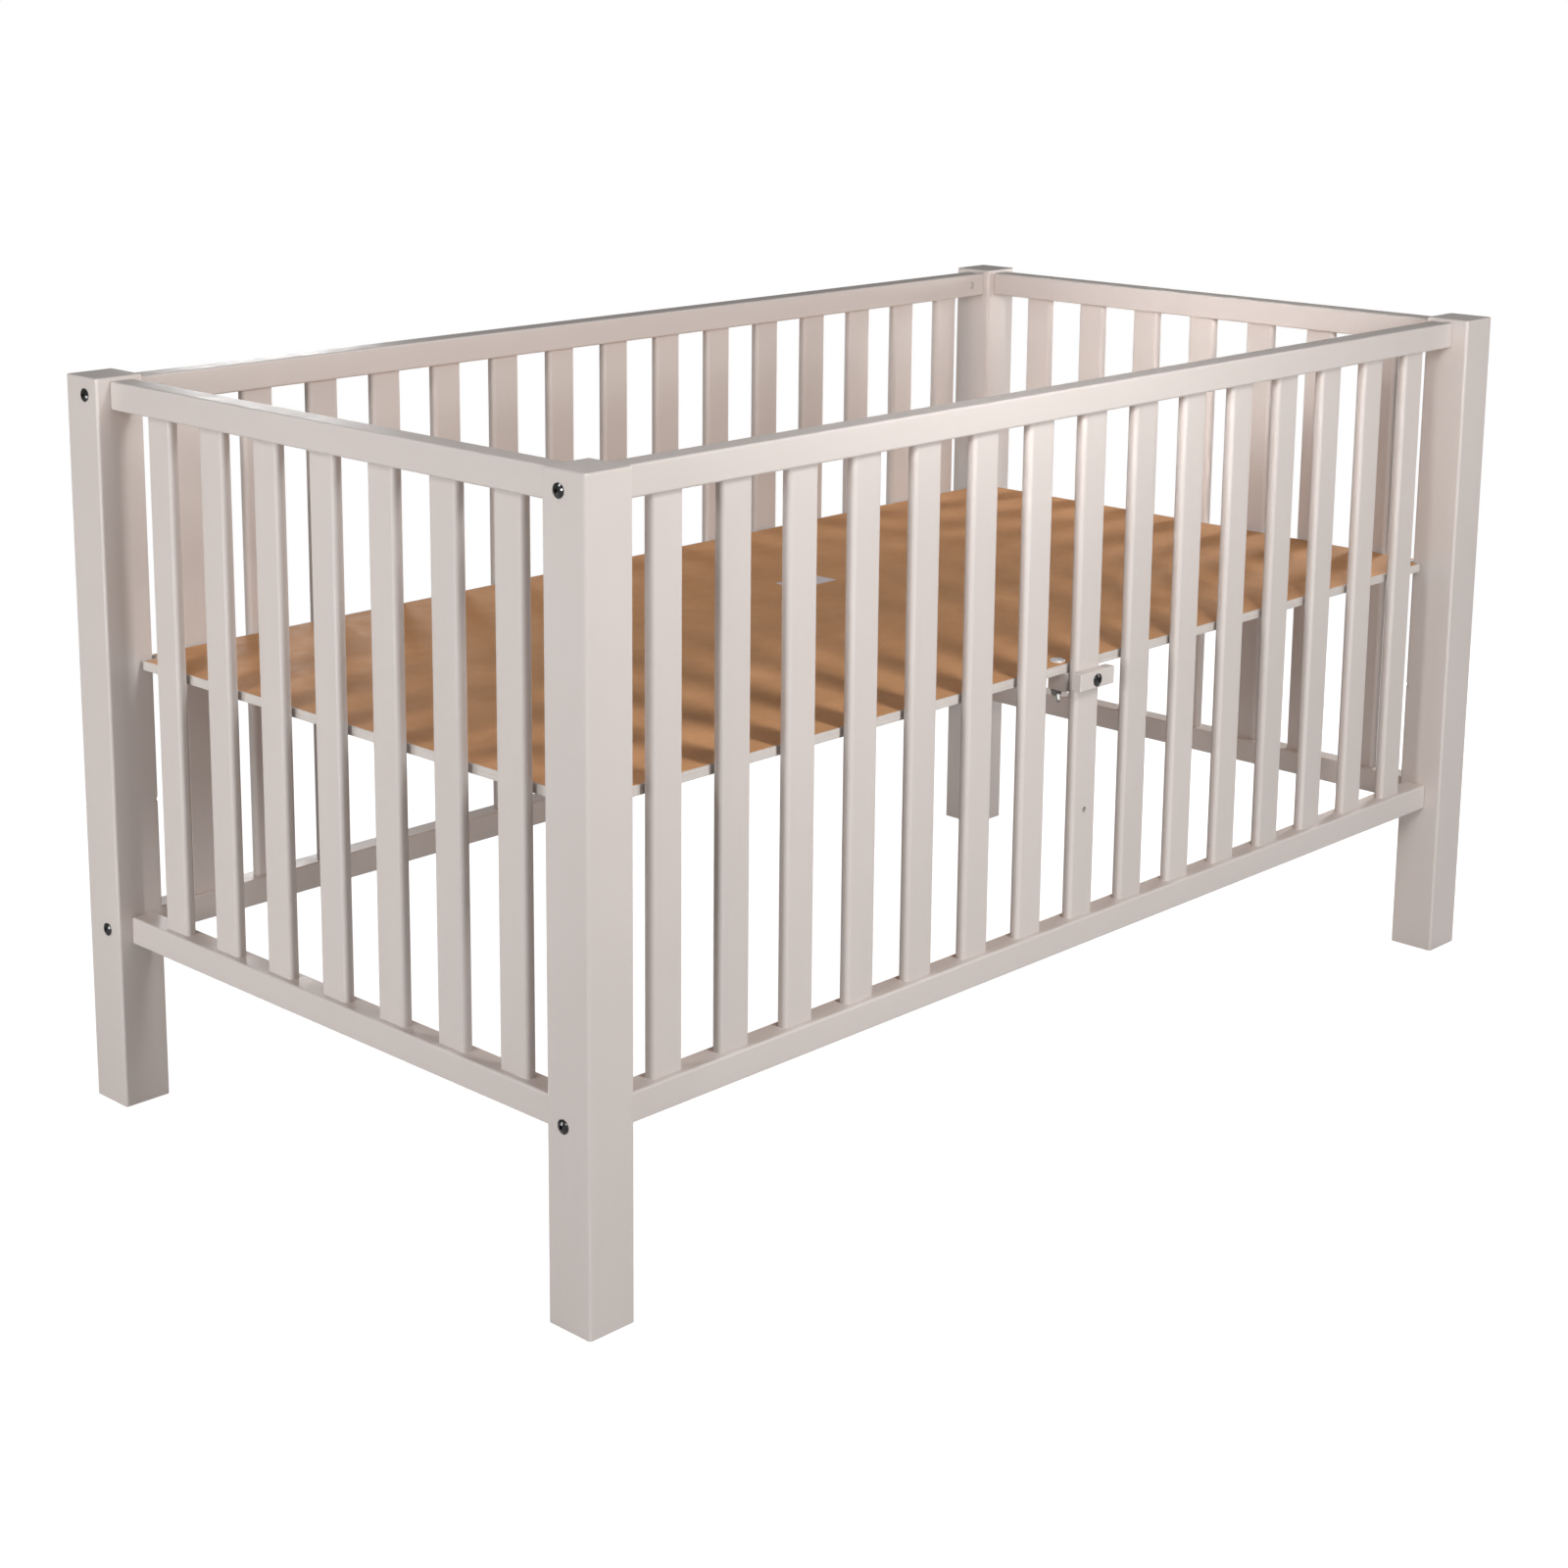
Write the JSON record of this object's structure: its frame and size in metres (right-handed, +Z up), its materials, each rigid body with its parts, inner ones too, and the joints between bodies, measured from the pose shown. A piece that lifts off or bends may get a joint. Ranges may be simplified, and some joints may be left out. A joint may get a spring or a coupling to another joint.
{
  "type": "baby crib",
  "caption": "Slatted baby crib with square corner posts, plain rails and a flat bed base held between the sides by corner lugs and mid-length clamps.",
  "frame": {"origin": "middle of the footprint, on the floor that the posts stand on", "axes": "+Z up, +X along the long sides, +Y across from the front side to the rear side"},
  "size_m": [1.501, 0.794, 0.797],
  "materials": {
    "painted_wood": "satin",
    "fibreboard": "satin",
    "edge_paint": "satin",
    "label_paper": "matte",
    "black_steel": "gloss",
    "zinc_steel": "satin"
  },
  "bodies": {
    "crib_frame": {"post_front_left": "painted_wood", "post_front_right": "painted_wood", "post_rear_left": "painted_wood", "post_rear_right": "painted_wood", "end_left_top_rail": "painted_wood", "end_left_bottom_rail": "painted_wood", "end_left_slats": "painted_wood", "end_right_top_rail": "painted_wood", "end_right_bottom_rail": "painted_wood", "end_right_slats": "painted_wood", "side_front_top_rail": "painted_wood", "side_front_bottom_rail": "painted_wood", "side_front_slats": "painted_wood", "side_front_centre_slat": "painted_wood", "side_rear_top_rail": "painted_wood", "side_rear_bottom_rail": "painted_wood", "side_rear_slats": "painted_wood", "side_rear_centre_slat": "painted_wood", "clamp_outer_block_front": "painted_wood", "clamp_outer_block_rear": "painted_wood", "clamp_inner_block_front": "painted_wood", "clamp_inner_block_rear": "painted_wood", "side_bolts": "black_steel", "clamp_bolts": "black_steel", "barrel_nuts": "zinc_steel", "clamp_insert_nuts": "zinc_steel", "corner_supports": "zinc_steel"},
    "bed_base": {"bed_base_board": "fibreboard", "bed_base_edging": "edge_paint", "bed_base_blank_label": "label_paper", "base_screws_corner": "zinc_steel", "base_screws_middle": "zinc_steel"},
    "wing_nut_front_left": {"wing_nut_front_left": "zinc_steel"},
    "wing_nut_front_right": {"wing_nut_front_right": "zinc_steel"},
    "wing_nut_rear_left": {"wing_nut_rear_left": "zinc_steel"},
    "wing_nut_rear_right": {"wing_nut_rear_right": "zinc_steel"},
    "wing_nut_front_middle": {"wing_nut_front_middle": "zinc_steel"},
    "wing_nut_rear_middle": {"wing_nut_rear_middle": "zinc_steel"}
  },
  "joints": [
    {"name": "base_lift", "type": "slide", "parent": "crib_frame", "child": "bed_base", "axis": [0, 0, 1], "range_m": [0, 0.26]},
    {"name": "wing_nut_front_left_turn", "type": "hinge", "parent": "crib_frame", "child": "wing_nut_front_left", "pos_m": [-0.67552, -0.32502, 0.48], "axis": [0, 0, 1], "continuous": true},
    {"name": "wing_nut_front_right_turn", "type": "hinge", "parent": "crib_frame", "child": "wing_nut_front_right", "pos_m": [0.67552, -0.32502, 0.48], "axis": [0, 0, 1], "continuous": true},
    {"name": "wing_nut_rear_left_turn", "type": "hinge", "parent": "crib_frame", "child": "wing_nut_rear_left", "pos_m": [-0.67552, 0.32502, 0.48], "axis": [0, 0, 1], "continuous": true},
    {"name": "wing_nut_rear_right_turn", "type": "hinge", "parent": "crib_frame", "child": "wing_nut_rear_right", "pos_m": [0.67552, 0.32502, 0.48], "axis": [0, 0, 1], "continuous": true},
    {"name": "wing_nut_front_middle_turn", "type": "hinge", "parent": "crib_frame", "child": "wing_nut_front_middle", "pos_m": [-0.0175, -0.3405, 0.463], "axis": [0, 0, 1], "continuous": true},
    {"name": "wing_nut_rear_middle_turn", "type": "hinge", "parent": "crib_frame", "child": "wing_nut_rear_middle", "pos_m": [-0.0175, 0.3405, 0.463], "axis": [0, 0, 1], "continuous": true}
  ]
}
